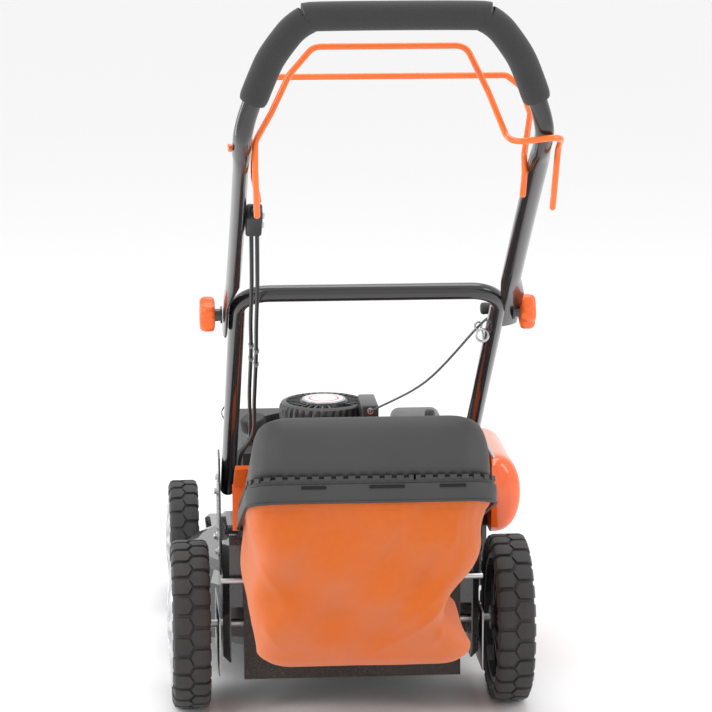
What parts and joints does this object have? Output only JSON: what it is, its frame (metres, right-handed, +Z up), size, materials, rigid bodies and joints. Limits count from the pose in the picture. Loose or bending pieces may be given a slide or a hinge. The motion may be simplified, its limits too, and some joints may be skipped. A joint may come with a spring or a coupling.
{
  "type": "push lawn mower",
  "caption": "Petrol walk-behind lawn mower with steel deck, grooved rubber wheels, folding tube handle, wire bails, foam grip and a rear cloth grass bag.",
  "frame": {"origin": "on the ground under the centre of the machine's bounding box", "axes": "+X to the machine's right, +Y the way it travels, +Z up"},
  "size_m": [0.5615, 1.4871, 1.1319],
  "materials": {
    "deck_paint": "glossy black enamel",
    "black_enamel": "gloss",
    "orange_enamel": "satin gloss",
    "steel": "satin",
    "casting": "cast",
    "black_plastic": "fine grained",
    "grey_plastic": "fine grained",
    "rim_plastic": "satin",
    "hub_silver": "silver lacquer",
    "disc_plastic": "smooth",
    "orange_plastic": "glossy",
    "foam": "matte closed-cell foam",
    "cable_sheath": "smooth",
    "black_rubber": "dull, speckled",
    "tyre_rubber": "matte",
    "orange_cloth": "woven mesh"
  },
  "bodies": {
    "chassis": {"air_filter_cover": "black_plastic", "blower_housing": "black_plastic", "cap_disc": "disc_plastic", "carburettor": "casting", "deck_shell": "deck_paint", "drive_belt": "black_rubber", "drive_cable_lower": "cable_sheath", "engine_block": "casting", "front_axle": "steel", "fuel_tank": "black_plastic", "gearbox": "casting", "handle_bracket_left": "deck_paint", "handle_bracket_right": "deck_paint", "lower_handle": "black_enamel", "muffler": "steel", "rear_axle": "steel", "recoil_cap": "black_plastic", "rope_hook": "steel", "shield_rod": "steel", "side_chute": "black_plastic", "spark_plug": "black_plastic", "starter_rope": "cable_sheath", "stop_cable_lower": "cable_sheath"},
    "wheel_rear_left": {"tyre_rear_left": "tyre_rubber", "rim_rear_left": "rim_plastic", "hub_cap_rear_left": "hub_silver"},
    "wheel_rear_right": {"tyre_rear_right": "tyre_rubber", "rim_rear_right": "rim_plastic", "hub_cap_rear_right": "hub_silver"},
    "wheel_front_left": {"tyre_front_left": "tyre_rubber", "rim_front_left": "rim_plastic", "hub_cap_front_left": "hub_silver"},
    "wheel_front_right": {"tyre_front_right": "tyre_rubber", "rim_front_right": "rim_plastic", "hub_cap_front_right": "hub_silver"},
    "crank": {"crankshaft": "steel", "blade": "steel"},
    "drive_pulley": {"gearbox_pulley": "steel"},
    "upper": {"upper_handle": "black_enamel", "foam_grip": "foam", "cable_clamp": "black_plastic", "stop_cable_upper": "cable_sheath", "drive_cable_upper": "cable_sheath"},
    "knob_left": {"knob_left": "orange_plastic"},
    "knob_right": {"knob_right": "orange_plastic"},
    "drive_bail": {"drive_bail": "orange_enamel"},
    "stop_bail": {"stop_bail": "orange_enamel"},
    "rear_flap": {"rear_flap": "orange_plastic"},
    "trailing_shield": {"trailing_shield": "black_rubber"},
    "side_cover": {"side_cover": "orange_plastic"},
    "fuel_cap": {"fuel_cap": "black_plastic"},
    "starter_handle": {"starter_handle": "black_plastic"},
    "grass_bag": {"bag_lid": "grey_plastic", "bag_cloth": "orange_cloth"}
  },
  "joints": [
    {"name": "rear_left_wheel_spin", "type": "hinge", "parent": "chassis", "child": "wheel_rear_left", "pos_m": [-0.242, 0.0493, 0.127], "axis": [1, 0, 0], "continuous": true},
    {"name": "rear_right_wheel_spin", "type": "hinge", "parent": "chassis", "child": "wheel_rear_right", "pos_m": [0.242, 0.0493, 0.127], "axis": [1, 0, 0], "continuous": true},
    {"name": "front_left_wheel_spin", "type": "hinge", "parent": "chassis", "child": "wheel_front_left", "pos_m": [-0.239, 0.6423, 0.1015], "axis": [1, 0, 0], "continuous": true},
    {"name": "front_right_wheel_spin", "type": "hinge", "parent": "chassis", "child": "wheel_front_right", "pos_m": [0.239, 0.6423, 0.1015], "axis": [1, 0, 0], "continuous": true},
    {"name": "crank_spin", "type": "hinge", "parent": "chassis", "child": "crank", "pos_m": [-0.018, 0.3593, 0.12], "axis": [0, 0, 1], "continuous": true},
    {"name": "drive_pulley_spin", "type": "hinge", "parent": "chassis", "child": "drive_pulley", "pos_m": [-0.018, 0.1093, 0.148], "axis": [0, 0, 1], "continuous": true},
    {"name": "handle_fold", "type": "hinge", "parent": "chassis", "child": "upper", "pos_m": [0, -0.2907, 0.667], "axis": [-1, 0, 0], "range_deg": [0, 120]},
    {"name": "left_knob_turn", "type": "hinge", "parent": "upper", "child": "knob_left", "pos_m": [-0.2003, -0.2907, 0.667], "axis": [-1, 0, 0], "continuous": true},
    {"name": "right_knob_turn", "type": "hinge", "parent": "upper", "child": "knob_right", "pos_m": [0.2003, -0.2907, 0.667], "axis": [1, 0, 0], "continuous": true},
    {"name": "drive_bail_squeeze", "type": "hinge", "parent": "upper", "child": "drive_bail", "pos_m": [0, -0.67355, 0.9487], "axis": [1, 0, 0], "range_deg": [0, 16], "stiffness_Nm_per_rad": 1.2, "springref_deg": -28.65},
    {"name": "stop_bail_squeeze", "type": "hinge", "parent": "upper", "child": "stop_bail", "pos_m": [0, -0.63005, 0.9167], "axis": [1, 0, 0], "range_deg": [0, 25], "stiffness_Nm_per_rad": 1.2, "springref_deg": -28.65},
    {"name": "bag_pull_off", "type": "slide", "parent": "chassis", "child": "grass_bag", "axis": [0, -1, 0], "range_m": [0, 0.15]},
    {"name": "rear_flap_lift", "type": "hinge", "parent": "chassis", "child": "rear_flap", "pos_m": [0, 0.0143, 0.3485], "axis": [-1, 0, 0], "range_deg": [0, 15], "stiffness_Nm_per_rad": 0.8, "springref_deg": -34.38},
    {"name": "trailing_shield_swing", "type": "hinge", "parent": "chassis", "child": "trailing_shield", "pos_m": [0, -0.0057, 0.208], "axis": [-1, 0, 0], "range_deg": [0, 10]},
    {"name": "side_cover_lift", "type": "hinge", "parent": "chassis", "child": "side_cover", "pos_m": [0.2344, 0.3293, 0.342], "axis": [0, -1, 0], "range_deg": [0, 75], "stiffness_Nm_per_rad": 0.6, "springref_deg": -28.65},
    {"name": "fuel_cap_turn", "type": "hinge", "parent": "chassis", "child": "fuel_cap", "pos_m": [-0.131, 0.2443, 0.362], "axis": [-0.155, -0.1937, 0.9687], "continuous": true},
    {"name": "starter_pull", "type": "slide", "parent": "chassis", "child": "starter_handle", "axis": [0.2499, -0.6797, 0.6897], "range_m": [0, 0.5], "stiffness_N_per_m": 15, "springref_m": -0.6}
  ],
  "couplings": [
    {"joint": "drive_pulley_spin", "follows": "crank_spin", "ratio": 0.6923}
  ]
}
